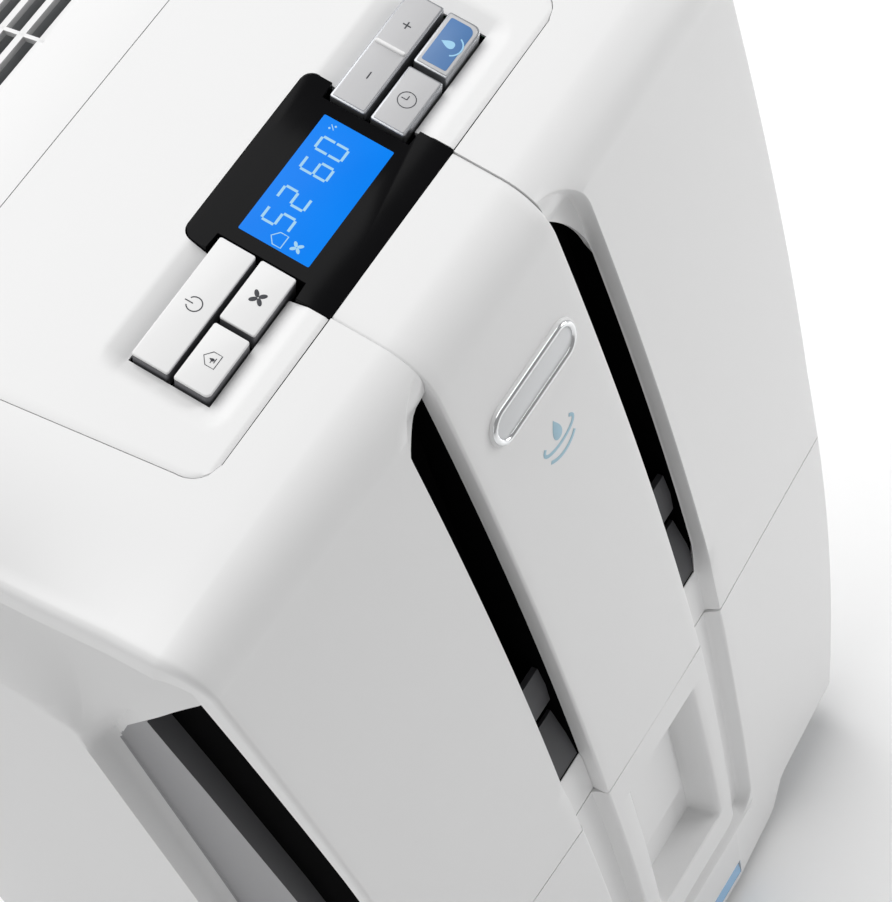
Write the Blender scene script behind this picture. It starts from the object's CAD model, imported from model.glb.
"""Looks for the portable dehumidifier: its outer shells, keys, display, tank face and studio."""

import math

import bmesh
import bpy
import numpy as np
from mathutils import Matrix


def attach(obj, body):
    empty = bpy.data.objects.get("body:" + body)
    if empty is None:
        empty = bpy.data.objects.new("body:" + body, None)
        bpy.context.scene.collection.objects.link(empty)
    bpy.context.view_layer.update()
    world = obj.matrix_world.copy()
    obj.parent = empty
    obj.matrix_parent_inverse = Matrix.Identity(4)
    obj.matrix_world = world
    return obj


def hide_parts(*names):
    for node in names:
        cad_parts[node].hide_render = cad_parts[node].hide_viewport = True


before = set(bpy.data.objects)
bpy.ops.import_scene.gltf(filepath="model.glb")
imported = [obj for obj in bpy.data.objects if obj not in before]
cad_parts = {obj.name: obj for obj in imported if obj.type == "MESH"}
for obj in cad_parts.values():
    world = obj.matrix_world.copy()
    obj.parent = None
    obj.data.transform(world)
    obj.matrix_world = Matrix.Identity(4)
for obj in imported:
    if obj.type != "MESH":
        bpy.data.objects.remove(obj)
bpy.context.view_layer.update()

bl_info = {
    "name": "Portable dehumidifier",
    "version": (1, 0, 0),
    "blender": (4, 5, 0),
    "location": "3D View > Sidebar > Dehumidifier",
    "description": "Builds the shells, keys, display, tank face and studio of a portable dehumidifier",
    "category": "Object",
}

# ---------------------------------------------------------------- the body's driving sizes, in metres

SLOPE = math.radians(18.6)
PANEL_Y, PANEL_Z = -0.103, 0.578
SHOULDER_Z = 0.546
TOP_HALF = 0.196
SIDE_HALF = 0.1935
REAR_Y = 0.1515
PANEL_REAR = 0.131
SEAM_Z = 0.249
BAND_HALF = 0.0435
CHANNEL_DEPTH = 0.0095
TANK_CHANNEL = 0.008
SHELL = 0.0024
KEY_ROWS = ((0.0203, 0.0359), (0.0383, 0.0544))
KEY_X = (0.0378, 0.0667, 0.0693, 0.0970)
PANEL_FRONT_HALF = 0.1162
VENT = (0.1300, 0.0510, 0.1290)
SLOT, SLOT_PITCH = 0.0072, 0.0103
STEP_Z, STEP_Y = (0.26, 0.314, 0.391, 0.455), (-0.046, -0.044, -0.040, -0.0370)
SLANT_Z = (0.431, 0.447, 0.463, 0.482, 0.502, 0.520)
SLANT_Y = (-0.039, -0.049, -0.065, -0.085, -0.107, -0.127)
RECESS_TOP, RECESS_FOOT = 0.016, 0.300
TRAY_X, TRAY_S = (0.0369, 0.0979), (0.0194, 0.0553)
GLASS_HALF, GLASS_END, GLASS_RADIUS = 0.0445, 0.0685, 0.0055
SCOOP = 0.0175
SECOND_STEP = 0.010
REAR_CORNER, REAR_STRIP = 0.009, 0.0275

# ---------------------------------------------------------------- sizes and colours a user may change


def length(name, text, value):
    return bpy.props.FloatProperty(name=name, description=text, default=value, unit="LENGTH", precision=4)


def tint(name, text, value):
    return bpy.props.FloatVectorProperty(name=name, description=text, default=value, size=3,
                                         subtype="COLOR", min=0.0, max=1.0)


class DehumidifierSizes(bpy.types.PropertyGroup):
    """Sizes of the details that stand on the fixed body."""

    tray: length("Tray depth", "How deep the shallow tray round the keys lies", 0.0034)
    key_top: length("Key height", "How far the keys stand over the panel", 0.0020)
    symbol: length("Symbol line", "Width of the lines of the printed symbols", 0.00045)
    badge_length: length("Badge length", "Length of the blank badge on the band", 0.0628)
    badge_height: length("Badge height", "Height of the blank badge", 0.0200)
    side_recess: length("Side recess", "Depth of the first step of the side intakes", 0.0150)
    grip_depth: length("Grip depth", "Depth of the tank's grip at its crevice", 0.0160)


class DehumidifierColours(bpy.types.PropertyGroup):
    """Colours of the finishes."""

    shell: tint("Shell", "White moulded shells", (0.80, 0.80, 0.80))
    cap: tint("Right keys", "Grey tops of the right-hand keys", (0.52, 0.52, 0.53))
    rim: tint("Key rim", "Silver rim round the right-hand keys", (0.42, 0.43, 0.45))
    dark: tint("Dark parts", "Sills, bars and fittings", (0.055, 0.055, 0.06))
    display: tint("Display", "Lit field of the display", (0.0, 0.235, 1.0))
    digits: tint("Digits", "Digits and marks on the display", (0.42, 0.74, 1.0))
    label: tint("Label", "Blue label of the pump key", (0.075, 0.19, 0.42))


# ---------------------------------------------------------------- meshes


def grid_faces(rows, columns, keep=None, around=False, ends=False):
    """Four-cornered faces of a grid of points; around joins the last column to the first, ends the rows."""
    index = np.arange(rows * columns).reshape(rows, columns)
    if around:
        index = np.hstack([index, index[:, :1]])
    if ends:
        index = np.vstack([index, index[:1]])
    faces = np.stack([index[:-1, :-1], index[:-1, 1:], index[1:, 1:], index[1:, :-1]], -1)
    return (faces if keep is None else faces[keep]).reshape(-1, 4)


def gather(*shapes):
    """Several (points, faces) pairs as one."""
    points, faces, start = [], [], 0
    for place, rows in shapes:
        points.append(place)
        faces += [[start + corner for corner in row] for row in rows]
        start += len(place)
    return np.concatenate(points), faces


def sheet_shape(grid, keep=None):
    """A grid of points, rows by columns by three, as (points, faces)."""
    return grid.reshape(-1, 3), grid_faces(*grid.shape[:2], keep).tolist()


def linked(name, data):
    """A new object in the scene for a mesh, a lamp or a camera."""
    obj = bpy.data.objects.new(name, data)
    bpy.context.scene.collection.objects.link(obj)
    return obj


def mesh_object(name, shape):
    """A new object at the origin with the shape's points and faces."""
    points, faces = shape
    mesh = bpy.data.meshes.new(name)
    mesh.from_pydata(np.asarray(points, float).tolist(), [], faces)
    return linked(name, mesh)


def piece(name, shape, body, finish, stands_for=(), wall=0.0, angle=32.0, turn_out=False):
    """Makes one piece from (points, faces), gives it its wall, its edges, its finish and its body."""
    obj = mesh_object(name, shape)
    mesh = obj.data
    worked = bmesh.new()
    worked.from_mesh(mesh)
    bmesh.ops.remove_doubles(worked, verts=worked.verts, dist=0.000002)
    bmesh.ops.dissolve_degenerate(worked, edges=worked.edges, dist=0.000002)
    if turn_out:
        bmesh.ops.recalc_face_normals(worked, faces=worked.faces)
    worked.to_mesh(mesh)
    worked.free()
    if wall:
        solid = obj.modifiers.new("wall", "SOLIDIFY")
        solid.thickness = wall
        solid.offset = -1.0
        bpy.context.view_layer.update()
        graph = bpy.context.evaluated_depsgraph_get()
        mesh = bpy.data.meshes.new_from_object(obj.evaluated_get(graph))
        obj.modifiers.clear()
        obj.data = mesh
        mesh.name = name
    if not mesh.polygons:
        raise RuntimeError(name + " has no faces")
    mesh.shade_smooth()
    mesh.set_sharp_from_angle(angle=math.radians(angle))
    mesh.materials.clear()
    mesh.materials.append(look(finish))
    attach(obj, body)
    if stands_for:
        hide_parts(*stands_for)
    return obj


def smooth(share):
    """A soft step from 0 to 1: three times the square less twice the cube."""
    share = np.clip(share, 0.0, 1.0)
    return share * share * (3 - 2 * share)


def on_panel(x, s, n):
    """Points from (across, up the slope, out of it) to the frame."""
    x, s, n = np.broadcast_arrays(x, s, n)
    return np.stack([x, PANEL_Y + s * math.cos(SLOPE) - n * math.sin(SLOPE),
                     PANEL_Z + s * math.sin(SLOPE) + n * math.cos(SLOPE)], -1)


def on_face(height):
    """A placing function for things that lie on the front at one height, as (across, up, out)."""
    lean = float(front_lean(height))
    base = float(front_y(height))

    def place(x, up, n):
        x, up, n = np.broadcast_arrays(x, up, n)
        return np.stack([x, base + up * math.sin(lean) - n * math.cos(lean),
                         height + up * math.cos(lean) + n * math.sin(lean)], -1)
    return place


def pad(outline, low, high, edge, place):
    """A slab: the outline, anticlockwise, goes straight up and turns in on a quarter circle at its top."""
    outline = np.asarray(outline, float)
    ahead = np.roll(outline, -1, 0) - np.roll(outline, 1, 0)
    inward = np.stack([-ahead[:, 1], ahead[:, 0]], 1) / np.linalg.norm(ahead, axis=1)[:, None]
    turn = np.linspace(0.0, math.pi / 2, 4)
    inset = np.concatenate([[0.0], edge * (1 - np.cos(turn))])
    level = np.concatenate([[low], high - edge + edge * np.sin(turn)])
    rings = outline[None] + inward[None] * inset[:, None, None]
    points = place(rings[..., 0], rings[..., 1], level[:, None])
    count = len(outline)
    faces = grid_faces(len(level), count, around=True).tolist()
    faces.append(list(range(count))[::-1])
    faces.append(list(range((len(level) - 1) * count, len(level) * count)))
    return points.reshape(-1, 3), faces


def rounded(x0, x1, y0, y1, radii, steps=6):
    """A rectangle with a quarter circle at each corner, anticlockwise from the low left one."""
    corners = ((x0, y0, 1, 1, math.pi), (x1, y0, -1, 1, 1.5 * math.pi),
               (x1, y1, -1, -1, 0.0), (x0, y1, 1, -1, 0.5 * math.pi))
    parts = []
    for (x, y, right, up, start), radius in zip(corners, radii):
        angle = start + np.linspace(0.0, math.pi / 2, steps)
        parts.append(np.stack([x + right * radius + radius * np.cos(angle),
                               y + up * radius + radius * np.sin(angle)], 1))
    return np.concatenate(parts)


def arc(x, y, radius, start, end, steps=24):
    """Points of an arc between two angles in degrees."""
    angle = np.radians(np.linspace(start, end, steps))
    return np.stack([x + radius * np.cos(angle), y + radius * np.sin(angle)], 1)


def line_outline(points, width):
    """The outline of a line: its points set off to the right, then back along the left."""
    points = np.asarray(points, float)
    ahead = np.gradient(points, axis=0)
    left = np.stack([-ahead[:, 1], ahead[:, 0]], 1) / np.linalg.norm(ahead, axis=1)[:, None] * width / 2
    return np.concatenate([points - left, (points + left)[::-1]])


def prints(lines, fills, width, low, high, place, centre=(0.0, 0.0), scale=1.0):
    """Printed marks: lines of one width and filled outlines, as thin slabs on a surface."""
    shift = np.asarray(centre, float)
    outlines = [line_outline(np.asarray(line, float) * scale + shift, width) for line in lines]
    outlines += [np.asarray(fill, float) * scale + shift for fill in fills]
    return gather(*[pad(outline, low, high, 0.00002, place) for outline in outlines])


def tube_round(path, radius, height, place, steps=12):
    """A ring: a circle of the given radius carried along a closed outline at one height."""
    ahead = np.roll(path, -1, 0) - np.roll(path, 1, 0)
    out = np.stack([ahead[:, 1], -ahead[:, 0]], 1) / np.linalg.norm(ahead, axis=1)[:, None]
    angle = np.linspace(0.0, 2 * math.pi, steps, endpoint=False)
    flat = path[:, None] + out[:, None] * (radius * np.cos(angle))[None, :, None]
    points = place(flat[..., 0], flat[..., 1], height + radius * np.sin(angle)[None])
    return points.reshape(-1, 3), grid_faces(len(path), steps, around=True, ends=True).tolist()


# ---------------------------------------------------------------- the body's outer surface


def front_y(z):
    """The front's profile: a shallow parabola, foremost at 284 mm."""
    return -0.1555 + 0.0139 * ((z - 0.284) / 0.270) ** 2


def front_lean(z):
    """The angle by which the front leans back: the arc tangent of the profile's slope."""
    return np.arctan(2 * 0.0139 * (z - 0.284) / 0.270 ** 2)


def half_width(z):
    """Half of the front's width: it widens evenly upward, a little fuller low down."""
    return 0.158 + 0.058 * (z - 0.028) + 0.003 * np.sin(math.pi * np.clip((z - 0.028) / 0.27, 0, 1))


def set_back(x, half, corner):
    """How far the front falls back towards its corners: nearly evenly from the channel outward."""
    return corner * np.clip((np.abs(x) - 0.040) / (half - 0.040), 0, 1) ** 0.85


def corner_depth(z):
    """How far the front's corners are set back: evenly more towards the foot."""
    return 0.0045 + 0.0030 * (0.546 - z) / 0.52


def top_drop(y):
    """How far the top's side edges lie under its middle."""
    return 0.014 * smooth((y + 0.145) / 0.09)


def crown(x, y):
    """How far the top falls at a distance from its middle: the square of the share beyond 138 mm."""
    return top_drop(y) * np.clip((np.abs(x) - 0.138) / (TOP_HALF - 0.138), 0, 1) ** 2


def place_rows(profile, x, depth):
    """Points of a shell: each depth is set in along its row's normal, profile holds (y, z, ny, nz)."""
    y, z, ny, nz = (profile[:, i:i + 1] for i in range(4))
    return np.stack([x, y - ny * depth, z - nz * depth], -1)


def shoulder_arc(steps):
    """The arc between the front and the slope, touching both, with the share of its turn."""
    lean = float(front_lean(SHOULDER_Z))
    start = np.array([float(front_y(SHOULDER_Z)), SHOULDER_Z])
    first = np.array([math.cos(lean), -math.sin(lean)])
    last = np.array([math.sin(SLOPE), -math.cos(SLOPE)])
    away = (start - [PANEL_Y, PANEL_Z]) @ last
    radius = away / (1 - first @ last)
    centre = start + radius * first
    angle = lean + (math.pi / 2 - SLOPE - lean) * np.linspace(0, 1, steps + 1)
    normal = np.stack([-np.cos(angle), np.sin(angle)], 1)
    return np.hstack([centre + radius * normal, normal]), np.linspace(0, 1, steps + 1)


def slope_rows(s):
    """Rows of a profile up the slope, as (y, z, ny, nz)."""
    s = np.asarray(s, float)
    ones = np.ones_like(s)
    return np.stack([PANEL_Y + s * math.cos(SLOPE), PANEL_Z + s * math.sin(SLOPE),
                     -math.sin(SLOPE) * ones, math.cos(SLOPE) * ones], 1)


def front_rows(z):
    """Rows of a profile up the front, as (y, z, ny, nz)."""
    lean = front_lean(z)
    return np.stack([front_y(z), z, -np.cos(lean), np.sin(lean)], 1)


def edge_columns(half, base, radius, back, steps=6):
    """The round corner and the return behind it, as columns of x and of depth."""
    angle = np.linspace(0, math.pi / 2, steps + 1)[1:]
    x = half - radius + radius * np.sin(angle)
    depth = base + radius * (1 - np.cos(angle))
    x = np.hstack([x, half, half])
    depth = np.hstack([depth, base + radius + back * 0.5, base + radius + back])
    return x, depth


def both_halves(x, depth, shared=1):
    """Mirrors the right half's columns to the left; the first ones, on the middle, are shared."""
    return np.hstack([-x[:, shared:][:, ::-1], x]), np.hstack([depth[:, shared:][:, ::-1], depth])


def channel_edge(h):
    """The channel's outer edge at a depth under the panel: it draws in slowly towards the foot."""
    return np.interp(h, [0.290, 0.313, 0.412, 0.497], [0.0665, 0.0655, 0.0623, 0.0613])


def outer_edge(h):
    """The intake recess's outer edge: a quarter ellipse at its top, then a slow taper downward."""
    top = 0.044 + 0.0225 * np.sqrt(np.clip(1 - np.clip((0.040 - h) / 0.024, 0, 1) ** 2, 0, 1))
    return np.minimum(top, channel_edge(h))


def panel_half(s):
    """Half of the control panel's width: a round front corner, then a slanting side."""
    round_part = PANEL_FRONT_HALF + np.sqrt(np.clip(0.012 ** 2 - (0.014 - s) ** 2, 0, None))
    return np.where(s < 0.014, round_part, 0.1282 + 0.1402 * (s - 0.014))


def front_shell_shape():
    """The front cover: rows up the front, over the shoulder and up the slope beside the panel.

    Each row is (x, depth) columns: the band's seat, the recess's floor, its wall, the face, the corner
    and the return. h is the depth under the panel's foot. The recess starts 16 mm under it, is open from
    26 mm and passes into the tank's channel at 300 mm. Its wall falls as half a cosine wave.
    """
    z = np.concatenate([np.linspace(SEAM_Z + 0.0005, 0.2810, 8), np.linspace(0.288, 0.508, 24),
                        np.linspace(0.513, SHOULDER_Z, 13)])
    low = front_rows(z)
    turned, share = shoulder_arc(36)
    end = (turned[-1, 0] - PANEL_Y) / math.cos(SLOPE)
    s = np.concatenate([np.linspace(end, 0.0014, 3)[1:], [0.0016, 0.0018], np.linspace(0.002, 0.014, 9)[1:],
                        np.linspace(0.020, PANEL_REAR, 16)])
    high = slope_rows(s)
    profile = np.vstack([low, turned[1:], high])
    count = len(low)
    arc_end = count + len(turned) - 1
    share = np.concatenate([np.zeros(count), share[1:], np.ones(len(s))])
    distance = np.concatenate([np.full(arc_end, -1.0), s])
    h = PANEL_Z - profile[:, 1]
    half = np.where(share > 0, half_width(SHOULDER_Z) * (1 - share) + 0.193 * share, half_width(profile[:, 1]))
    half = np.where(distance > 0, np.minimum(TOP_HALF, 0.193 + 0.003 * distance / 0.06), half)
    corner = corner_depth(np.minimum(profile[:, 1], SHOULDER_Z)) * (1 - share)
    radius = 0.0025 * (1 - share) + 0.0045 * share
    back = np.interp(profile[:, 1], [0.26, 0.39, 0.54], [0.004, 0.004, 0.009]) * (1 - share) + 0.0105 * share

    on_top = distance >= 0.0015
    inner = np.where(on_top, panel_half(np.maximum(distance, 0.002)) + 0.0002, BAND_HALF + 0.0002)
    closed = on_top | (h < RECESS_TOP)
    edge = np.maximum(np.where(closed, inner, outer_edge(h)), inner + 0.0004)
    fillet = np.interp(h, [0.285, 0.298], [0.0009, 0.0045])
    floor = CHANNEL_DEPTH * smooth((h - 0.0145) / 0.022)
    foot = RECESS_FOOT - 0.004
    floor = np.where(h > foot, np.interp(h, [foot, RECESS_FOOT], [CHANNEL_DEPTH, TANK_CHANNEL]), floor)
    opening = 1 - np.clip((0.068 - h) / 0.042, 0, 1) ** 1.8
    fillet = np.where(h < 0.046, np.interp(h, [RECESS_TOP, 0.046], [0.0035, 0.0009]), fillet)
    base = np.where(closed, inner, np.maximum(edge - fillet, inner + (edge - inner) * 0.3))
    mouth = inner + (base - inner) * np.where(h < 0.026, 0.0, opening)

    t = np.linspace(0, 1, 9)[None]
    wall_x = base[:, None] + (edge - base)[:, None] * t
    wall_d = floor[:, None] * (1 + np.cos(math.pi * t)) / 2
    flat_end = (half - radius)[:, None]
    split = np.maximum(0.1180, edge + 0.0010)[:, None]
    face_x = np.hstack([edge[:, None] + (split - edge[:, None]) * np.linspace(0, 1, 9)[None, 1:],
                        split + (flat_end - split) * np.linspace(0, 1, 15)[None, 1:]])
    lift = share[:, None]

    def drop(x):
        return set_back(x, half[:, None], corner[:, None]) + lift * crown(x, profile[:, :1])

    wall_d = wall_d + np.where(floor[:, None] > 0, drop(edge[:, None]) * t, drop(wall_x))
    corner_x, corner_d = edge_columns(half[:, None], drop(flat_end), radius[:, None], back[:, None])
    seat = np.maximum(floor, 0.0030)[:, None]
    x = np.hstack([inner[:, None] - 0.0022 * on_top[:, None], inner[:, None], mouth[:, None], wall_x, face_x,
                   corner_x])
    depth = np.hstack([seat, seat, wall_d[:, :1], wall_d, drop(face_x), corner_d])
    x, depth = both_halves(x, depth, 0)
    grid = place_rows(profile, x, depth)
    rows, columns = grid.shape[:2]
    keep = np.ones((rows - 1, columns - 1), bool)
    middle = columns // 2 - 1
    keep[:, middle] = False
    open_row = (h[1:] > 0.0259) & (h[:-1] <= 0.2971)
    keep[open_row, middle - 2] = False
    keep[open_row, middle + 2] = False
    return sheet_shape(grid, keep)


def band_shape():
    """The raised band: a slightly crowned strip with rounded edges and two side walls."""
    turned, _ = shoulder_arc(24)
    end = (turned[-1, 0] - PANEL_Y) / math.cos(SLOPE)
    profile = np.vstack([front_rows(np.linspace(SEAM_Z + 0.0001, SHOULDER_Z, 40)), turned[1:],
                         slope_rows(np.linspace(end, 0.0013, 3)[1:])])
    radius = 0.0014
    flat = BAND_HALF - radius
    angle = np.linspace(0, math.pi / 2, 5)[1:]
    x = np.concatenate([np.linspace(0, flat, 9), flat + radius * np.sin(angle), [BAND_HALF, BAND_HALF]])
    depth = np.concatenate([np.zeros(9), radius * (1 - np.cos(angle)), [0.005, CHANNEL_DEPTH - 0.0002]])
    x, depth = both_halves(x[None], depth[None] + 0.0004 * (x / BAND_HALF) ** 2)
    shape = (len(profile), x.shape[1])
    return sheet_shape(place_rows(profile, np.broadcast_to(x, shape), np.broadcast_to(depth, shape)))


def top_shell_shape():
    """The rear top: the slope eases flat on a parabola, then turns down at the rear on a quarter circle."""
    start = PANEL_REAR + 0.0002
    y0, z0 = PANEL_Y + start * math.cos(SLOPE), PANEL_Z + start * math.sin(SLOPE)
    rise = math.tan(SLOPE)
    ease = 0.060
    rear_radius, side_radius = 0.010, 0.0045
    bend = REAR_Y - rear_radius
    y = np.concatenate([np.linspace(y0, 0.0500, 9), [0.0506], np.linspace(0.0506, 0.1294, 12)[1:],
                        [0.1300], np.linspace(0.133, bend, 3)])
    run = np.minimum(y - y0, ease)
    z = z0 + rise * run - rise * run * run / (2 * ease)
    lean = np.arctan(rise * (1 - run / ease))
    angle = np.linspace(0, math.pi / 2, 9)[1:]
    top = z[-1]
    profile = np.vstack([np.stack([y, z, -np.sin(lean), np.cos(lean)], 1),
                         np.stack([bend + rear_radius * np.sin(angle), top - rear_radius * (1 - np.cos(angle)),
                                   0 * angle, 0 * angle + 1], 1)])
    flat = np.concatenate([np.linspace(0, 0.1298, 8), [0.1304], np.linspace(0.133, TOP_HALF - side_radius, 14)])
    x = np.broadcast_to(flat, (len(profile), len(flat)))
    ones = np.ones((len(profile), 1))
    corner_x, corner_d = edge_columns(TOP_HALF * ones, crown((TOP_HALF - side_radius) * ones, profile[:, :1]),
                                      side_radius * ones, 0.0105 * ones, 8)
    depth = np.hstack([crown(x, profile[:, :1]), corner_d])
    x = np.hstack([x, corner_x])
    x, depth = both_halves(x, depth)
    grid = place_rows(profile, x, depth)
    middle_x = (x[0, :-1] + x[0, 1:]) / 2
    middle_y = (profile[:-1, 0] + profile[1:, 0]) / 2
    middle_y = middle_y[:, None]
    hole = (np.abs(middle_x)[None] < 0.1304) & (middle_y > 0.0506) & (middle_y < 0.1294)
    return sheet_shape(grid, ~hole), top


def grille_shape(top):
    """The outlet grille: a flat plate with four columns of seven slots, crowned ribs between them."""
    rim, rib = 0.0035, 0.0008

    def lines(start, end, count, pitch, clear):
        places = [start]
        for number in range(count):
            low = start + rim + number * pitch
            places += [low - rib, low, low + clear, low + clear + rib]
        return np.array(places + [end])

    half, front, rear = VENT
    x = lines(-half, half, 4, 0.0637, 0.0619)
    y = lines(front, rear, 7, SLOT_PITCH, SLOT)
    lower = np.zeros((len(y), len(x)))
    lower[2:-1:4] = lower[3:-1:4] = 0.0007
    lower[:, 2:-1:4] = np.maximum(lower[:, 2:-1:4], 0.0007)
    lower[:, 3:-1:4] = np.maximum(lower[:, 3:-1:4], 0.0007)
    grid = np.stack([np.broadcast_to(x, lower.shape), np.broadcast_to(y[:, None], lower.shape),
                     top - 0.0030 - lower], -1)
    keep = np.ones((len(y) - 1, len(x) - 1), bool)
    keep[2::4, 2::4] = False
    return sheet_shape(grid, keep)


def vanes_shape(top):
    """Slanting vanes under the grille: a flat strip across each slot's rear, and one before the first."""
    low, high, thick, slant = top - 0.0245, top - 0.0085, 0.0011, 0.0050
    shapes = []
    for row in range(8):
        y = 0.0525 + row * SLOT_PITCH
        outline = np.array([(y, low), (y + thick, low), (y + slant + thick, high), (y + slant, high)])
        ends = np.array([-0.1285, 0.1285])
        points = np.stack([np.broadcast_to(ends[:, None], (2, 4)), np.broadcast_to(outline[:, 0], (2, 4)),
                           np.broadcast_to(outline[:, 1], (2, 4))], -1).reshape(-1, 3)
        shapes.append((points, grid_faces(2, 4, around=True).tolist() + [[3, 2, 1, 0], [4, 5, 6, 7]]))
    return gather(*shapes)


def lip_z(y):
    """The height of a side panel's top edge: the top's own line, its drop at the sides and 19 mm lower."""
    base = np.where(y < PANEL_Y, PANEL_Z - 0.014, np.minimum(PANEL_Z + math.tan(SLOPE) * (y - PANEL_Y), 0.6296))
    return base - top_drop(y) - 0.019


def side_shape(side, recess):
    """A side: flat, with a hand scoop under the top lip and a stepped intake along the front.

    Inset = the scoop and the forward step of the recess's depth, blended by the sixth root of the sum of
    their sixth powers. The scoop deepens above a crease that sinks from 473 to 452 mm towards the front:
    one less a power of the share left to the lip. A second step, 10 mm deeper, opens the intake below a
    slanting edge.
    """
    z_low = np.concatenate([np.linspace(0.026, 0.252, 12), np.linspace(0.257, 0.273, 9),
                            np.linspace(0.283, 0.423, 12), np.linspace(0.427, 0.520, 38)])
    share = np.linspace(0, 1, 12)[1:]
    z_base = np.concatenate([z_low, np.full(len(share), 0.520)])[:, None]
    lift = np.concatenate([np.zeros(len(z_low)), share])[:, None]

    step_y = np.interp(z_base, STEP_Z, STEP_Y)
    slant_y = np.interp(z_base, SLANT_Z, SLANT_Y)
    step2_y = np.where(z_base < 0.463, np.interp(z_base, [0.26, 0.333, 0.416, 0.463],
                                                 [-0.106, -0.093, -0.076, -0.065]), slant_y)
    front = np.full_like(z_base, -0.1340)
    bend = REAR_Y - REAR_CORNER
    rear = np.linspace(0, 1, 15)[None] ** 1.2
    y_rear = (step_y + 0.0030) + (bend - step_y - 0.0030) * rear
    y_step = step_y + np.array([[-0.0022, -0.0016, -0.0008, 0.0, 0.0008]])
    slant_at = np.where(z_base < 0.431, step_y - 0.0031, np.clip(slant_y, step2_y + 0.0001, step_y - 0.0031))
    y_floor = np.hstack([step2_y + (slant_at - step2_y) * np.linspace(0.02, 1, 8)[None],
                         slant_at + (step_y - 0.0030 - slant_at) * np.linspace(0, 1, 6)[None, 1:]])
    y_open = np.hstack([front, front + (step2_y - front) * 0.5, step2_y - 0.0012, step2_y - 0.0006])
    y = np.hstack([y_open, y_floor, y_step, y_rear])
    angle = np.linspace(0, math.pi / 2, 8)[None, 1:]
    y_corner = np.hstack([bend + REAR_CORNER * np.sin(angle), [[REAR_Y]]]) + 0 * z_base
    inset_corner = np.hstack([REAR_CORNER * (1 - np.cos(angle)), [[REAR_STRIP]]]) + 0 * z_base
    inset = np.hstack([0 * y, inset_corner])
    y = np.hstack([y, y_corner])
    top = lip_z(y)
    z = z_base + (top - z_base) * lift

    rearward = 1 - smooth((y - 0.070) / 0.050)
    crease = np.interp(y, [-0.042, -0.035, -0.029, -0.023, -0.006], [0.452, 0.461, 0.467, 0.471, 0.473])
    up = np.clip((z - crease) / (top - crease), 0, 1)
    steep = 1.8 + 3.0 * smooth((0.020 - y) / 0.060)
    scoop = SCOOP * (1 - (1 - up) ** steep) * rearward
    soft = np.interp(z, [0.440, 0.476, 0.530], [0.0026, 0.030, 0.070])
    edge_round = smooth((step_y + 0.0006 - y) / soft)
    above = 0.003 * smooth((z - np.interp(y, SLANT_Y[::-1], SLANT_Z[::-1])) / 0.05)
    forward = (recess + above) * edge_round
    second = SECOND_STEP * smooth((step2_y - y) / 0.0014) * (z_base < 0.5199)
    upper = (scoop ** 6 + forward ** 6) ** (1 / 6) + second
    lower = 0.0205 * smooth((-0.041 - y) / 0.067)
    mix = smooth((z - 0.262) / 0.006)
    depth = np.maximum(inset, lower * (1 - mix) + upper * mix)
    fade = 1 - inset / REAR_STRIP
    taper = (0.006 * (1 - z / PANEL_Z) + 0.011 * smooth((0.22 - z) / 0.19)) * fade
    taper = taper * (1 - 0.9 * smooth((y - 0.020) / 0.100))
    grid = np.stack([side * (SIDE_HALF - depth - taper), y, z], -1)
    keep = np.ones((grid.shape[0] - 1, grid.shape[1] - 1), bool)
    opened = ((z_base[:-1, 0] > 0.2665) & (z_base[1:, 0] < 0.517) & (lift[1:, 0] == 0))
    keep[opened, 0:2] = False
    if side < 0:
        grid, keep = grid[:, ::-1], keep[:, ::-1]
    return sheet_shape(grid, keep)


def side_liner_shape(side):
    """The dark inner wall that closes the side intake behind its opening."""
    z = np.linspace(0.262, 0.520, 14)[:, None]
    y = np.linspace(-0.1345, -0.060, 8)[None]
    inset = 0.0266 + 0.0006 * np.cos(math.pi * (z - 0.262) / 0.258) + 0 * y
    grid = np.stack([side * (SIDE_HALF - inset), y + 0 * z, z + 0 * y], -1)
    return sheet_shape(grid if side > 0 else grid[:, ::-1])


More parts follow.
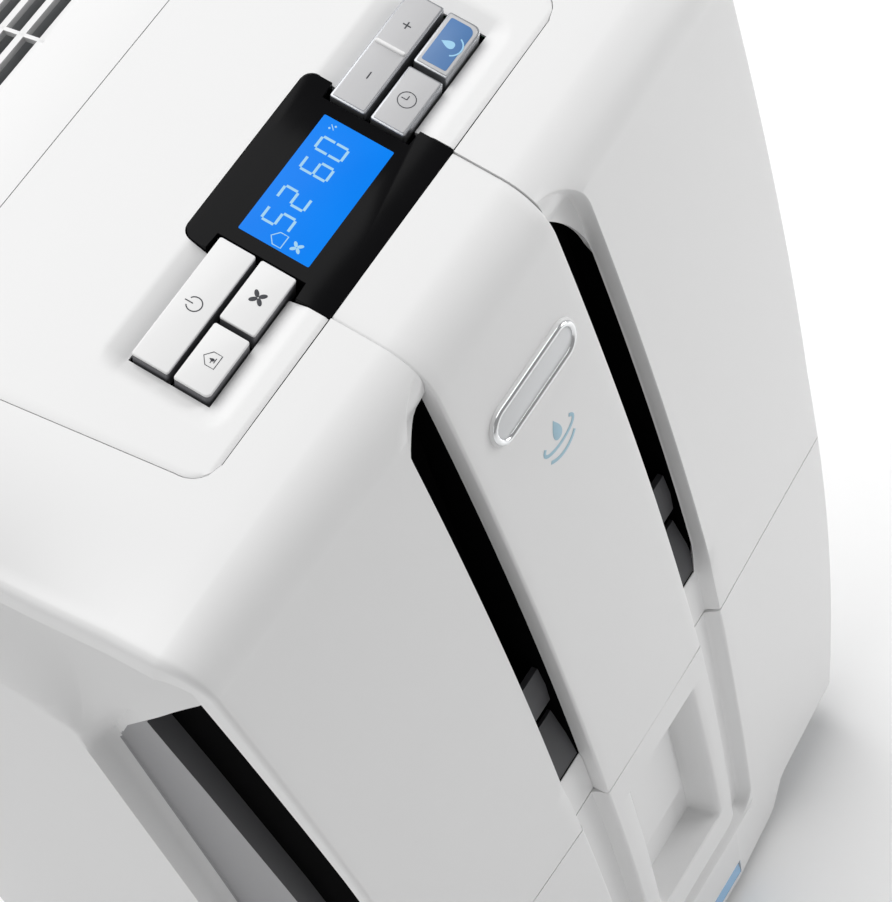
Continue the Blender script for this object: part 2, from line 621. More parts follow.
def tank_face_shape(grip):
    """The tank's front: the band runs down its middle, a smooth channel runs round the band's foot.

    Rows run up; each row's columns are the grip, the band, the channel's floor, its outer wall, the face,
    the corner and the return. Depth is set in along the front's normal.
    """
    z_top = SEAM_Z - 0.0005
    z_list = np.concatenate([np.linspace(0.050, 0.0590, 4), np.linspace(0.0600, 0.0780, 30)[:-1],
                             np.linspace(0.0780, 0.0880, 8), np.linspace(0.092, 0.0985, 5),
                             np.linspace(0.0995, 0.1030, 6), np.linspace(0.110, 0.132, 5),
                             np.linspace(0.134, 0.142, 6), np.linspace(0.150, 0.224, 9),
                             [0.2268, 0.2275, 0.2283, 0.2289, 0.2293, 0.2297],
                             np.linspace(0.234, z_top, 4)])
    foot = np.array([1.0, 0.955, 0.9091, 0.86, 0.74, 0.62, 0.5795, 0.50, 0.38, 0.25, 0.12])
    base = np.concatenate([np.full(len(foot), 0.050), z_list])[:, None]
    sink = np.concatenate([foot, np.zeros(len(z_list))])[:, None]
    z = base
    h = PANEL_Z - z
    half = half_width(np.where(sink > 0, 0.050 - 0.030 * sink, z))
    outer = channel_edge(h)

    def rounded_foot(x, low, radius):
        turn = np.clip(radius - (z - low), 0, radius)
        turned = x - radius + np.sqrt(np.maximum(radius * radius - turn * turn, 0))
        return np.where((z > low - 0.0002) & (z < low + radius), turned, x)

    outer = rounded_foot(outer, 0.0610, 0.013)
    band = rounded_foot(np.interp(h, [0.329, 0.500], [0.0435, 0.0402]), 0.0755, 0.007)
    band = np.where(sink > 0, 0.0402, band)
    channel = TANK_CHANNEL * smooth((z - 0.0606) / 0.0045) * (sink == 0)
    end = channel * (1 - smooth((z - 0.0742) / 0.0016))

    grip_x = np.array([[0.0, 0.006, 0.012, 0.0165, 0.0180, 0.0192, 0.0212, 0.0226, 0.0238, 0.0250, 0.0262,
                        0.0274, 0.0284, 0.0292, 0.0300, 0.0312]])
    plate = grip * 0.75
    flank = [grip * 0.88, grip * 0.62, grip * 0.36, grip * 0.16, 0.0011, 0.0004, 0.0]
    wall_d = np.array([[plate] * 5 + [plate + 0.0012, grip - 0.0006, grip, grip] + flank])
    deep = np.array([[grip] * 9 + flank])
    lower = 1 - smooth((z - 0.1325) / 0.007)
    pocket = wall_d * (1 - lower) + deep * lower
    pocket = pocket * smooth((0.2296 - z) / 0.0012) * smooth((z - 0.0990) / 0.0042) * (sink == 0)
    grip_d = np.maximum(pocket, end + 0 * grip_x)

    edge = 0.0012
    rest_x = 0.0312 + (band - edge - 0.0312) * np.array([[0.45, 0.8, 0.96, 1.0]])
    rest_d = end + 0 * rest_x
    angle = np.linspace(0, math.pi / 2, 5)[None, 1:]
    round_x = band - edge + edge * np.sin(angle)
    edge_d = edge * (channel > 0.0013)
    round_d = np.maximum(end, edge_d * (1 - np.cos(angle)))
    side_t = np.array([[0.4, 0.75, 0.92, 1.0]])
    draft = 0.0022
    side_x = band + draft * side_t ** 2
    side_d = np.maximum(end, edge_d + (channel - edge_d) * side_t)
    fillet = 0.0062
    floor_x = band + draft + (outer - fillet - band - draft) * np.array([[0.33, 0.66, 1.0]])
    floor_d = channel + 0 * floor_x
    t = np.linspace(0, 1, 12)[None, 1:]
    wall_x = outer - fillet + fillet * t
    radius = 0.0025
    face_x = outer + (half - radius - outer) * np.linspace(0, 1, 19)[None, 1:]
    corner = corner_depth(z)

    def drop(x):
        return set_back(x, half, corner)

    outer_d = channel * (1 + np.cos(math.pi * t)) / 2 + drop(outer) * t
    corner_x, corner_d = edge_columns(half, drop(half - radius), radius + 0 * half, 0.004 + 0 * half)
    x = np.hstack([grip_x + 0 * z, rest_x, round_x, side_x, floor_x, wall_x, face_x, corner_x])
    inner_x = x[:, :-face_x.shape[1] - corner_x.shape[1]]
    inner_drop = np.where(inner_x > 0.040, drop(inner_x), 0.0)
    depth = np.hstack([grip_d, rest_d, round_d, side_d, floor_d, outer_d, drop(face_x), corner_d])
    flat_rows = (channel == 0)[:, 0]
    depth[flat_rows, :inner_drop.shape[1]] = inner_drop[flat_rows]
    x, depth = both_halves(x, depth)
    hem = 0.006 + 0.020 * smooth((np.abs(x) - 0.0785) / 0.017)
    level = base - (base - hem) * sink
    level[-1] += 0.0004 * (np.abs(x[-1]) < 0.0436)
    lean = front_lean(level)
    grid = np.stack([x, front_y(level) + np.cos(lean) * depth, level - np.sin(lean) * depth], -1)
    middle_x = (x[0, :-1] + x[0, 1:]) / 2
    rows = np.arange(len(sink) - 1)
    hole = (np.abs(middle_x)[None] < 0.0402) & (rows[:, None] >= 2) & (rows[:, None] < 6)
    return sheet_shape(grid, ~hole)


def deck_shape(tray):
    """The control panel's deck: flat up the slope, sinking softly into a tray round each group of keys.

    The tray's depth falls evenly with the distance from the keys' opening, to nothing at 8.5 mm.
    """
    s = np.concatenate([np.linspace(0.0020, 0.0140, 10), [0.0155, 0.0170, 0.0184, 0.0192, 0.0194],
                        np.linspace(0.0194, 0.0553, 12)[1:], [0.0555, 0.0563, 0.0577, 0.0600, 0.0630, 0.0645,
                        0.0658, 0.0668, 0.0676, 0.0682, 0.0685, 0.0687, 0.0700], np.linspace(0.074, 0.1308, 10)])
    inner = np.array([0.0, 0.02, 0.0367, 0.0369, 0.0443, 0.0445, 0.055, 0.07, 0.085, 0.0977, 0.0979, 0.0985,
                      0.0995, 0.1010, 0.1025, 0.1045, 0.1065, 0.1090, 0.1110])
    half = panel_half(s)[:, None]
    outer = 0.1110 + (half - 0.0003 - 0.1110) * np.array([[0.25, 0.5, 0.8, 0.95, 1.0, 1.0]])
    x = np.hstack([inner[None] + 0 * half, outer])
    turn = np.clip(GLASS_RADIUS - (GLASS_END - s), 0, GLASS_RADIUS)
    turned = GLASS_HALF - GLASS_RADIUS + np.sqrt(GLASS_RADIUS ** 2 - turn ** 2)
    bound = np.where((s > 0.0630) & (s < 0.0686), turned, GLASS_HALF)
    x[:, 4] = bound - 0.0002
    x[:, 5] = bound
    x[:, 3] = np.minimum(x[:, 3], bound - 0.0003)
    x[:, 2] = np.minimum(x[:, 2], bound - 0.0005)
    gap_x = np.maximum(np.maximum(x - TRAY_X[1], TRAY_X[0] - x), 0)
    gap_s = np.maximum(np.maximum(TRAY_S[0] - s, s - TRAY_S[1]), 0)[:, None]
    depth = tray * np.clip(1.02 - np.hypot(gap_x, gap_s) / 0.0085, 0, 1)
    depth[:, -1] = 0.004
    depth[:, -2] = np.maximum(depth[:, -2], 0.0003)
    depth[0] = np.maximum(depth[0], 0.0006)
    x, depth = both_halves(x, depth)
    grid = on_panel(x, s[:, None], -depth)
    middle_x = np.abs((x[:-1, :-1] + x[1:, 1:]) / 2)
    middle_s = ((s[:-1] + s[1:]) / 2)[:, None]
    column = np.abs(np.arange(x.shape[1] - 1) + 0.5 - (x.shape[1] - 1) / 2)[None]
    hole = (column < 5) & (middle_s < GLASS_END)
    hole |= (middle_x > TRAY_X[0]) & (middle_x < TRAY_X[1]) & (middle_s > TRAY_S[0]) & (middle_s < TRAY_S[1])
    return sheet_shape(grid, ~hole)


# ---------------------------------------------------------------- finishes


def set_inputs(made, node, **inputs):
    """Sets a node's inputs: a socket is linked, anything else is its value."""
    for name, value in inputs.items():
        socket = node.inputs[name.replace("_", " ")]
        if isinstance(value, bpy.types.NodeSocket):
            made.node_tree.links.new(value, socket)
        else:
            socket.default_value = value


def add_node(made, kind, **inputs):
    """Adds a node to a material and sets its inputs."""
    node = made.node_tree.nodes.new("ShaderNode" + kind)
    set_inputs(made, node, **inputs)
    return node


def two_tone(made, colour, spread, factor):
    """A colour that runs from a little darker to a little lighter with the factor."""
    mix = add_node(made, "Mix")
    mix.data_type = "RGBA"
    set_inputs(made, mix, A=(*[c * (1 - spread) for c in colour], 1.0),
               B=(*[min(c * (1 + spread), 1.0) for c in colour], 1.0), Factor=factor)
    return mix.outputs["Result"]


def finish_look(name, colour, rough, metal=0.0, spread=0.02, scale=45.0, bump=0.04, bump_scale=1400.0,
                rough_spread=0.05, stretch=(1.0, 1.0, 1.0), wave=None, **sockets):
    """A moulded or metal finish: soft noise varies colour and roughness, a fine grain raises the surface.

    wave = (axis, scale, strength) adds evenly spaced ridges, as on fins and cloth.
    """
    made = bpy.data.materials.new(name)
    made.use_nodes = True
    coords = add_node(made, "TexCoord").outputs["Object"]
    place = add_node(made, "Mapping", Scale=stretch, Vector=coords).outputs["Vector"]
    soft = add_node(made, "TexNoise", Scale=scale, Detail=4.0, Vector=place).outputs["Fac"]
    span = add_node(made, "MapRange", To_Min=max(rough - rough_spread, 0.02),
                    To_Max=min(rough + rough_spread, 1.0), Value=soft)
    grain = add_node(made, "TexNoise", Scale=bump_scale, Vector=place)
    raised = add_node(made, "Bump", Strength=bump, Distance=0.0003, Height=grain.outputs["Fac"])
    if wave:
        ridges = add_node(made, "TexWave", Scale=wave[1], Vector=coords)
        ridges.bands_direction = wave[0]
        raised = add_node(made, "Bump", Strength=wave[2], Distance=0.0006, Height=ridges.outputs["Fac"],
                          Normal=raised.outputs["Normal"])
    set_inputs(made, made.node_tree.nodes["Principled BSDF"], Metallic=metal,
               Base_Color=two_tone(made, colour, spread, soft), Roughness=span.outputs["Result"],
               Normal=raised.outputs["Normal"], **sockets)
    return made


LOOKS = {}


def look(name):
    """One of the finishes, made when it is first asked for: name, colour, roughness and what differs."""
    if name in LOOKS:
        return LOOKS[name]
    colours = bpy.context.scene.dehumidifier_colours
    rows = {
        "white": ("white_shell", colours.shell, 0.42, dict(spread=0.008, bump=0.03)),
        "side_white": ("side_shell", [c * 0.97 for c in colours.shell], 0.50,
                       dict(spread=0.01, bump=0.06, bump_scale=1100.0)),
        "cap": ("grey_key", colours.cap, 0.38, dict(spread=0.012)),
        "rim": ("silver_rim", colours.rim, 0.32, dict(metal=0.85, spread=0.04, scale=160.0)),
        "key_side": ("key_side", (0.13, 0.13, 0.14), 0.4, dict(spread=0.05)),
        "recess": ("recess_grey", (0.30, 0.30, 0.31), 0.5, dict(spread=0.02, bump=0.06)),
        "dark": ("dark_plastic", colours.dark, 0.55, dict(spread=0.10, scale=70.0, bump=0.10)),
        "black": ("black_liner", (0.0015, 0.0015, 0.0017), 0.95,
                  dict(spread=0.2, bump=0.1, Specular_IOR_Level=0.02)),
        "ink": ("grey_print", (0.035, 0.037, 0.045), 0.6, dict(spread=0.1, scale=300.0)),
        "glass": ("black_glass", (0.004, 0.004, 0.0045), 0.16,
                  dict(spread=0.2, bump=0.004, rough_spread=0.03, Specular_IOR_Level=0.06)),
        "chrome": ("bright_ring", (0.78, 0.79, 0.80), 0.16,
                   dict(metal=1.0, spread=0.03, bump=0.01, rough_spread=0.04)),
        "shine": ("badge_field", (0.62, 0.63, 0.64), 0.30, dict(metal=0.35, spread=0.02)),
        "steel": ("steel", (0.50, 0.51, 0.53), 0.36,
                  dict(metal=1.0, spread=0.08, scale=120.0, stretch=(1.0, 1.0, 0.15))),
        "black_paint": ("black_paint", (0.012, 0.012, 0.013), 0.35,
                        dict(spread=0.2, scale=90.0, bump=0.12, bump_scale=500.0)),
        "copper": ("copper_pipe", (0.72, 0.36, 0.21), 0.30, dict(metal=1.0, spread=0.10, scale=80.0)),
        "aluminium": ("aluminium_fins", (0.70, 0.71, 0.73), 0.42,
                      dict(metal=1.0, spread=0.06, wave=("X", 250.0, 0.7))),
        "grey": ("grey_plastic", (0.36, 0.37, 0.38), 0.55, dict(spread=0.03, bump=0.08)),
        "tank": ("tank_plastic", (0.50, 0.55, 0.60), 0.35, dict(spread=0.02, Transmission_Weight=0.15)),
        "clear": ("clear_blue", (0.24, 0.50, 0.80), 0.12,
                  dict(spread=0.05, bump=0.01, rough_spread=0.03, Coat_Weight=0.6, Coat_Roughness=0.05)),
        "board": ("board_green", (0.02, 0.16, 0.06), 0.45,
                  dict(spread=0.25, scale=220.0, bump=0.15, bump_scale=400.0)),
        "rubber": ("soft_rubber", (0.014, 0.014, 0.015), 0.78, dict(spread=0.15, bump=0.15, bump_scale=700.0)),
        "foam": ("float_foam", (0.78, 0.77, 0.70), 0.90,
                 dict(spread=0.05, scale=250.0, bump=0.4, bump_scale=500.0)),
        "net": ("filter_net", (0.05, 0.05, 0.055), 0.7, dict(spread=0.1, wave=("Z", 500.0, 0.6))),
        "label": ("blue_label", colours.label, 0.35, dict(spread=0.04)),
        "pale_blue": ("pale_print", (0.36, 0.55, 0.66), 0.5, dict(spread=0.05, scale=200.0)),
    }
    if name == "field":
        LOOKS[name] = lit_look("display_field", colours.display, 0.92, 0.10)
    elif name == "digits":
        LOOKS[name] = lit_look("display_digits", colours.digits, 0.85, 0.05)
    else:
        material, colour, rough, others = rows[name]
        LOOKS[name] = finish_look(material, colour, rough, **others)
    return LOOKS[name]


def lit_look(name, colour, strength, spread):
    """A lit display: its glow varies softly over the field."""
    made = finish_look(name, [c * 0.04 for c in colour], 0.3, spread=0.05, bump=0.005, Specular_IOR_Level=0.1)
    coords = add_node(made, "TexCoord").outputs["Object"]
    glow = add_node(made, "TexNoise", Scale=28.0, Vector=coords).outputs["Fac"]
    set_inputs(made, made.node_tree.nodes["Principled BSDF"], Emission_Color=two_tone(made, colour, spread, glow),
               Emission_Strength=strength)
    return made


# ---------------------------------------------------------------- symbols


def drop_outline(width, height, steps=28):
    """A water drop: across goes as the sine times the half-angle's sine, up as the cosine."""
    t = np.linspace(0, 2 * math.pi, steps, endpoint=False)
    return np.stack([-width * np.sin(t) * np.sin(t / 2) ** 1.4, height * np.cos(t)], 1)


def fan_outlines():
    """Four petals of the fan symbol: an ellipse set off from the middle and turned a quarter each."""
    t = np.linspace(0, 2 * math.pi, 16, endpoint=False)
    petal = np.stack([1.7 + 1.55 * np.cos(t), 0.55 + 0.85 * np.sin(t) + 0.25 * np.cos(t)], 1)
    turns = [math.pi / 2 * k + 0.5 for k in range(4)]
    return [petal @ np.array([[math.cos(a), math.sin(a)], [-math.sin(a), math.cos(a)]]) for a in turns]


HOUSE = np.array([(3.1, -0.4), (3.1, 1.0), (0.0, 3.5), (-3.1, 1.0), (-3.1, -2.8), (3.1, -2.8), (3.1, -0.6)])
SEGMENTS = {"a": ((-1, 2), (1, 2)), "b": ((1, 2), (1, 0)), "c": ((1, 0), (1, -2)), "d": ((-1, -2), (1, -2)),
            "e": ((-1, 0), (-1, -2)), "f": ((-1, 2), (-1, 0)), "g": ((-1, 0), (1, 0))}
DIGITS = (("afgcd", -0.0188), ("abged", -0.0079), ("afgedc", 0.0078), ("abcdef", 0.0184))


def digit_lines(names, centre_x, centre_s, half, height):
    """A number in seven strokes, each shortened a little at both ends."""
    lines = []
    for name in names:
        ends = np.array(SEGMENTS[name], float)
        middle = ends.mean(0)
        ends = middle + (ends - middle) * 0.86
        lines.append(np.stack([centre_x + ends[:, 0] * half, centre_s + ends[:, 1] * height / 4], 1))
    return lines


# ---------------------------------------------------------------- operators


class FrontShell(bpy.types.Operator):
    """Makes the front cover with its two intake recesses, and the band between them."""

    bl_idname = "dehumidifier.front_shell"
    bl_label = "Front shell and band"

    def execute(self, context):
        piece("front_shell", front_shell_shape(), "housing", "white",
              ("front_cover",), SHELL)
        piece("band", band_shape(), "housing", "white", ("centre_band",), 0.0018)
        return {"FINISHED"}


class TopShell(bpy.types.Operator):
    """Makes the rear top, the outlet grille and the vanes under it."""

    bl_idname = "dehumidifier.top_shell"
    bl_label = "Top shell and grille"

    def execute(self, context):
        shape, top = top_shell_shape()
        piece("top_shell", shape, "housing", "white", ("rear_top_cover",), SHELL)
        piece("grille", grille_shape(top), "housing", "white", ("outlet_grille",), 0.0035)
        piece("grille_vanes", vanes_shape(top), "housing", "grey", turn_out=True)
        return {"FINISHED"}


class SidePanels(bpy.types.Operator):
    """Makes both side panels with their hand scoops and stepped intakes."""

    bl_idname = "dehumidifier.side_panels"
    bl_label = "Side panels"

    def execute(self, context):
        recess = context.scene.dehumidifier_sizes.side_recess
        for name, side in (("left", -1), ("right", 1)):
            panel = piece(name + "_side", side_shape(side, recess), "housing", "side_white",
                          (name + "_side_panel",), 0.0018)
            shade_recess(panel, recess)
            piece(name + "_side_liner", side_liner_shape(side), "housing", "black",
                  wall=0.0006)
        return {"FINISHED"}


def shade_recess(panel, recess):
    """Gives the floor of the side intake its grey and the deeper step its dark plastic, by place."""
    mesh = panel.data
    mesh.materials.append(look("recess"))
    mesh.materials.append(look("dark"))
    centres = np.empty(len(mesh.polygons) * 3)
    mesh.polygons.foreach_get("center", centres)
    x, y, z = centres.reshape(-1, 3).T
    inset = SIDE_HALF - np.abs(x) - 0.006 * (1 - z / PANEL_Z)
    slant = np.interp(z, SLANT_Z, (-0.0385, *SLANT_Y[1:]))
    foot = np.interp(z, STEP_Z, STEP_Y) - 0.0018
    slant = np.where(z < SLANT_Z[0], foot, slant)
    inside = (y < np.minimum(slant, foot)) & (z > 0.2645) & (z < 0.520)
    index = np.where(inside, 1, 0)
    index = np.where(inside & (inset > recess + 0.0004), 2, index)
    mesh.polygons.foreach_set("material_index", index.astype(np.int32))


class Intakes(bpy.types.Operator):
    """Makes the dark linings, sills and bars inside the two front intakes."""

    bl_idname = "dehumidifier.intakes"
    bl_label = "Intake linings"

    def execute(self, context):
        linings, sills, bars = [], [], []
        for side in (-1, 1):
            z = np.linspace(0.2805, 0.5500, 24)[:, None]
            mouth = front_y(z) + 0.0092
            rear = np.maximum(-0.1228 + 0 * z, mouth + 0.0005)
            edge = np.maximum(outer_edge(PANEL_Z - z) + 0.0022, 0.047)
            inner = 0.0437 + 0 * z
            x = np.hstack([inner, inner, inner, edge * 0.5 + 0.0219, edge, edge, edge])
            y = np.hstack([mouth, (mouth + rear) / 2, rear, rear, rear, (mouth + rear) / 2, mouth])
            grid = np.stack([side * x, y, z + 0 * x], -1)
            if side < 0:
                grid = grid[:, ::-1]
            count = grid.shape[1]
            faces = grid_faces(len(z), count).tolist()
            faces.append(list(range(count)))
            faces.append([(len(z) - 1) * count + k for k in range(count)][::-1])
            linings.append((grid.reshape(-1, 3), faces))
            for shapes, points in ((sills, ((0.2815, 0.0098), (0.2980, 0.0120), (0.3150, 0.0162))),
                                   (bars, ((0.3260, 0.0138), (0.3390, 0.0128), (0.3520, 0.0138)))):
                path = np.array(points)
                ends = np.sort(side * np.array([0.0441, 0.0654]))
                level = path[:, :1] + 0 * ends
                depth = front_y(path[:, :1]) + path[:, 1:] + 0 * ends
                shapes.append(sheet_shape(np.stack([ends + 0 * level, depth, level], -1)))
        piece("intake_lining", gather(*linings), "housing", "black", wall=0.0006)
        piece("intake_sills", gather(*sills), "housing", "dark", wall=0.0020)
        piece("intake_bars", gather(*bars), "housing", "dark", wall=0.0030)
        return {"FINISHED"}


class KeyDeck(bpy.types.Operator):
    """Makes the control panel's deck and the dark bed under the keys."""

    bl_idname = "dehumidifier.key_deck"
    bl_label = "Key deck"

    def execute(self, context):
        sizes = context.scene.dehumidifier_sizes
        piece("key_deck", deck_shape(sizes.tray), "housing", "white",
              ("control_panel",), 0.0022)
        bed = rounded(-0.1010, 0.1010, 0.0165, 0.0585, (0.003,) * 4)
        under = rounded(-0.0480, 0.0480, 0.0012, 0.0715, (0.003,) * 4)
        shape = gather(pad(bed, -0.0122, -0.0104, 0.0004, on_panel),
                       pad(under, -0.0124, -0.0106, 0.0004, on_panel))
        piece("key_bed", shape, "housing", "black")
        return {"FINISHED"}


class Keys(bpy.types.Operator):
    """Makes the six keys with their printed symbols."""

    bl_idname = "dehumidifier.keys"
    bl_label = "Keys and symbols"

    def execute(self, context):
        sizes = context.scene.dehumidifier_sizes
        top, line = sizes.key_top, sizes.symbol
        a, b, c, d = KEY_X
        low, high = KEY_ROWS
        small, corner, big = 0.0010, 0.0022, 0.0042
        plain, border = (small,) * 4, 0.0009
        keys = (
            ("power", "power_button", -d, -a, high, plain, "white"),
            ("fan", "fan_button", -b, -a, low, plain, "white"),
            ("room", "room_button", -d, -c, low, (corner, small, small, small), "white"),
            ("timer", "timer_button", a, b, low, plain, "cap"),
            ("pump", "pump_button", c, d, low, (small, big, small, small), "cap"),
            ("rocker", "level_rocker", a, d, high, plain, "cap"),
        )
        for name, node, x0, x1, (s0, s1), radii, finish in keys:
            body = name + "_key"
            outline = rounded(x0, x1, s0, s1, radii)
            if finish == "white":
                piece(name + "_base", pad(outline, -0.0088, top - 0.0009, 0.0003, on_panel), body,
                      "key_side", (node,))
                piece(name + "_cap", pad(outline, top - 0.0014, top, 0.0006, on_panel), body,
                      "white")
                continue
            piece(name + "_rim", pad(outline, -0.0088, top - 0.0004, 0.0005, on_panel), body,
                  "rim", (node,))
            inner = rounded(x0 + border, x1 - border, s0 + border, s1 - border,
                            [max(radius - border, 0.0006) for radius in radii])
            piece(name + "_cap", pad(inner, -0.0020, top, 0.0004, on_panel), body, "cap")
        level = (top, top + 0.00010)
        middle = (sum(low) / 2, sum(high) / 2)

        def mark(name, body, finish, lines=(), fills=(), width=line, centre=(0.0, 0.0), scale=0.001, levels=level):
            shape = prints(lines, fills, width, *levels, on_panel, centre, scale)
            piece(name, shape, body, finish, angle=20.0)

        mark("power_symbol", "power_key", "ink", [arc(0, 0, 3.1, 122, 418, 30), [(0, 0.6), (0, 4.1)]],
             centre=(-(a + d) / 2, middle[1]))
        mark("fan_symbol", "fan_key", "ink", fills=fan_outlines(), centre=(-(a + b) / 2, middle[0]), scale=0.0011)
        mark("room_symbol", "room_key", "ink", [HOUSE, [(-1.6, -0.2), (0.6, -0.2)], [(-1.0, -1.4), (1.2, -1.4)]],
             fills=[drop_outline(0.9, 1.1)], width=line * 0.7, centre=(-(c + d) / 2, middle[0]))
        mark("timer_symbol", "timer_key", "ink",
             [arc(0, 0, 3.7, 0, 358, 40), [(0, -0.1), (0, 2.5)], [(-0.1, 0), (2.0, 0)]], width=line * 0.8,
             centre=((a + b) / 2, middle[0]))
        mark("rocker_symbols", "rocker_key", "ink", [[(-15.5, 0), (-11.9, 0)], [(12.4, 0), (16.0, 0)],
                                                     [(14.2, -1.8), (14.2, 1.8)]],
             width=line * 1.2, centre=((a + d) / 2, middle[1]))
        bar = rounded(0.0683, 0.0701, high[0] + 0.0012, high[1] - 0.0012, (0.0008,) * 4)
        piece("rocker_bar", pad(bar, top - 0.0004, top + 0.0011, 0.0007, on_panel), "rocker_key",
              "white")
        label = rounded(c + 0.0024, d - 0.0024, low[0] + 0.0022, low[1] - 0.0022, (0.0008, 0.0034, 0.0008, 0.0008))
        piece("pump_label", pad(label, top, top + 0.00012, 0.00004, on_panel), "pump_key", "label")
        mark("pump_symbol", "pump_key", "digits", [arc(0, -1.2, 5.0, 205, 335, 16)], [drop_outline(2.6, 3.0)],
             width=0.0006, centre=((c + d) / 2, middle[0] + 0.0004), levels=(top + 0.00012, top + 0.0002))
        return {"FINISHED"}


class Display(bpy.types.Operator):
    """Makes the lit display with its numbers, and gives the glass round it its finish."""

    bl_idname = "dehumidifier.display"
    bl_label = "Display"

    def execute(self, context):
        field = rounded(-0.0303, 0.0303, 0.0200, 0.0516, (0.0006,) * 4)
        piece("display_field", pad(field, -0.0022, 0.0003, 0.0001, on_panel), "housing", "field",
              ("lcd_module",))
        side = [(0.0441, 0.0018), (0.0441, 0.0168), (0.0364, 0.0172), (0.0364, 0.0566), (0.0441, 0.0570)]
        corner = arc(0.0441 - 0.0055, 0.0681 - 0.0055, 0.0055, 0, 90, 8)
        right = np.vstack([side, corner])
        outline = np.vstack([right, right[::-1] * [-1, 1]])
        piece("glass", pad(outline, -0.0080, 0.0002, 0.0002, on_panel), "housing", "glass",
              ("display_glass",), angle=20.0)
        lines = []
        for names, x in DIGITS:
            lines += digit_lines(names, x, 0.0408, 0.0031, 0.0118)
        dots = [arc(-0.9, 0.9, 0.45, 0, 330, 12), arc(0.9, -0.9, 0.45, 0, 330, 12)]
        shapes = [prints(strokes, fills, width, 0.0003, 0.00038, on_panel, centre, scale)
                  for strokes, fills, width, centre, scale in (
                      (lines, [], 0.0011, (0.0, 0.0), 1.0),
                      ([HOUSE], [], 0.00045, (-0.0262, 0.0360), 0.00095),
                      ([], fan_outlines(), 0.0004, (-0.0255, 0.0283), 0.00085),
                      ([[(-1, -1), (1, 1)]], dots, 0.00035, (0.0268, 0.0458), 0.001))]
        piece("display_digits", gather(*shapes), "housing", "digits", angle=20.0)
        return {"FINISHED"}


class Badge(bpy.types.Operator):
    """Makes the blank badge with its bright ring, and the small printed drop under it."""

    bl_idname = "dehumidifier.badge"
    bl_label = "Blank badge"

    def execute(self, context):
        sizes = context.scene.dehumidifier_sizes
        place = on_face(0.505)
        half_x, half_z = sizes.badge_length / 2, sizes.badge_height / 2

        def pill(inset, steps=20):
            r = half_z - inset
            x = half_x - half_z
            right = np.radians(np.linspace(-90, 90, steps))
            points = np.concatenate([np.stack([x + r * np.cos(right), r * np.sin(right)], 1),
                                     np.stack([-x - r * np.cos(right), -r * np.sin(right)], 1)])
            return points + [0.0018, 0.0]

        piece("badge_plate", pad(pill(0.0), -0.0016, 0.0011, 0.0010, place), "housing",
              "white", ("badge",))
        piece("badge_field", pad(pill(0.0038), 0.0006, 0.0013, 0.0002, place), "housing", "shine")
        piece("badge_ring", tube_round(pill(0.0023), 0.0015, 0.0008, place), "housing", "chrome",
              turn_out=True)
        low = on_face(0.4690)
        t = np.radians(np.linspace(150, 395, 40))
        ring = np.stack([11.0 * np.cos(t), 4.2 * np.sin(t) - 1.0], 1)
        marks = prints([ring, arc(0, 4.0, 15.0, 232, 308, 24)],
                       [drop_outline(4.2, 5.6) + [0, 3.2]], 0.0016, 0.0, 0.00012, low, (0.0035, 0.0), 0.001)
        piece("band_print", marks, "housing", "pale_blue", angle=20.0)
        return {"FINISHED"}


class TankFace(bpy.types.Operator):
    """Makes the tank's front with its grip, and the frame of its level window."""

    bl_idname = "dehumidifier.tank_face"
    bl_label = "Tank face"

    def execute(self, context):
        piece("tank_face", tank_face_shape(context.scene.dehumidifier_sizes.grip_depth), "tank",
              "white", ("tank_front", "tank_grip"), 0.0018)
        return {"FINISHED"}


CARRIED = {
    "white": "rear_cover",
    "grey": "base_pan mid_shelf drip_tray blower_housing control_box drain_outlet tank_lid",
    "tank": "tank_body",
    "dark": "cord_inlet pump_outlet condensate_pump humidity_sensor tank_switch filter_frame blower_wheel",
    "rubber": "drain_cap",
    "black_paint": "compressor",
    "steel": "fan_motor compressor_base motor_shaft",
    "copper": "discharge_pipe suction_pipe filter_drier",
    "aluminium": "evaporator condenser run_capacitor",
    "board": "control_board",
    "clear": "level_window pump_hose",
    "foam": "tank_float",
    "net": "filter_mesh",
}


class CarriedParts(bpy.types.Operator):
    """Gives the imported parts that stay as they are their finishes."""

    bl_idname = "dehumidifier.carried_parts"
    bl_label = "Inner parts and fittings"

    def execute(self, context):
        chosen = {node: key for key, names in CARRIED.items() for node in names.split()}
        for node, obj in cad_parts.items():
            if obj.hide_render:
                continue
            finish = chosen.get(node)
            if finish is None and node.startswith("caster"):
                finish = "rubber" if node.endswith("wheel") else "dark"
            if finish is None:
                raise RuntimeError("no finish for " + node)
            obj.data.materials.clear()
            obj.data.materials.append(look(finish))
        return {"FINISHED"}


def standing(right, up, back, place):
    """The placing of a lamp or camera: its three axes, then where it stands."""
    return Matrix([[right[i], up[i], back[i], place[i]] for i in range(3)] + [[0, 0, 0, 1]])


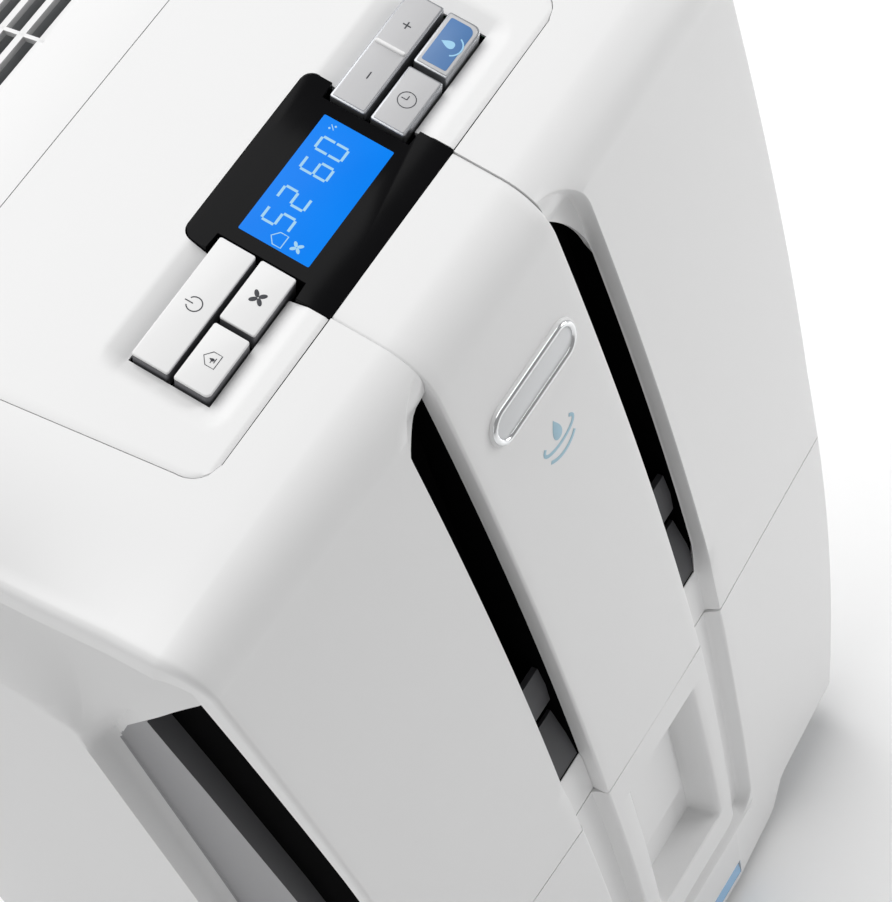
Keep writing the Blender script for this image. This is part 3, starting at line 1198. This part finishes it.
class Studio(bpy.types.Operator):
    """Makes the pale floor, the soft lights and the camera."""

    bl_idname = "dehumidifier.studio"
    bl_label = "Floor, lights and camera"

    def execute(self, context):
        scene = context.scene
        reach = np.linspace(-6.0, 6.0, 9)
        grid = np.stack([np.broadcast_to(reach, (9, 9)), np.broadcast_to(reach[:, None], (9, 9)),
                         np.full((9, 9), -0.0002)], -1)
        floor = mesh_object("floor", sheet_shape(grid))
        floor.data.materials.append(finish_look("pale_floor", (0.96, 0.96, 0.96), 0.7, spread=0.01, bump=0.0,
                                                Specular_IOR_Level=0.2))
        world = bpy.data.worlds.new("studio")
        world.use_nodes = True
        back = world.node_tree.nodes["Background"]
        back.inputs["Color"].default_value = (1.0, 1.0, 1.0, 1.0)
        back.inputs["Strength"].default_value = 0.32
        scene.world = world
        for name, place, target, size, energy in (
                ("overhead", (0.3, 0.9, 3.2), (0.0, 0.0, 0.5), 3.0, 84.0),
                ("left_soft", (-3.0, 0.6, 1.3), (0.0, 0.0, 0.4), 2.0, 14.0),
                ("right_near", (1.2, -0.85, 0.75), (0.1, -0.15, 0.35), 0.7, 8.0)):
            lamp = bpy.data.lights.new(name, "AREA")
            lamp.size = size
            lamp.energy = energy
            back_axis = np.array(place) - np.array(target)
            back_axis /= np.linalg.norm(back_axis)
            right = np.cross([0.0, 1.0, 0.0], back_axis)
            right /= np.linalg.norm(right)
            up = np.cross(back_axis, right)
            linked(name, lamp).matrix_world = standing(right, up, back_axis, place)
        view = np.array([0.39637, 0.46458, -0.79187])
        up = np.array([0.75425, 0.32699, 0.56937])
        right = np.cross(view, up)
        eye = (-0.4734, -0.6361, 1.3616)
        lens = bpy.data.cameras.new("camera")
        lens.lens = 112.9
        lens.sensor_width = 36.0
        lens.sensor_fit = "HORIZONTAL"
        lens.shift_x = 0.00224
        lens.shift_y = 0.01099
        camera = linked("camera", lens)
        camera.matrix_world = standing(right, up, -view, eye)
        scene.camera = camera
        scene.view_settings.view_transform = "Standard"
        return {"FINISHED"}


PIECES = (FrontShell, TopShell, SidePanels, Intakes, KeyDeck, Keys, Display, Badge, TankFace, CarriedParts, Studio)


class DehumidifierPanel(bpy.types.Panel):
    """Lists the sizes, the colours and the pieces."""

    bl_idname = "VIEW3D_PT_dehumidifier"
    bl_label = "Dehumidifier"
    bl_space_type = "VIEW_3D"
    bl_region_type = "UI"
    bl_category = "Dehumidifier"

    def draw(self, context):
        for group in (context.scene.dehumidifier_sizes, context.scene.dehumidifier_colours):
            box = self.layout.box()
            for name in group.__annotations__:
                box.prop(group, name)
        for operator in PIECES:
            self.layout.operator(operator.bl_idname)


CLASSES = (DehumidifierSizes, DehumidifierColours, *PIECES, DehumidifierPanel)


def register():
    for each in CLASSES:
        bpy.utils.register_class(each)
    bpy.types.Scene.dehumidifier_sizes = bpy.props.PointerProperty(type=DehumidifierSizes)
    bpy.types.Scene.dehumidifier_colours = bpy.props.PointerProperty(type=DehumidifierColours)


def unregister():
    del bpy.types.Scene.dehumidifier_colours
    del bpy.types.Scene.dehumidifier_sizes
    for each in reversed(CLASSES):
        bpy.utils.unregister_class(each)


def main():
    register()
    for operator in PIECES:
        getattr(bpy.ops.dehumidifier, operator.bl_idname.split(".")[1])()


if __name__ == "__main__":
    main()
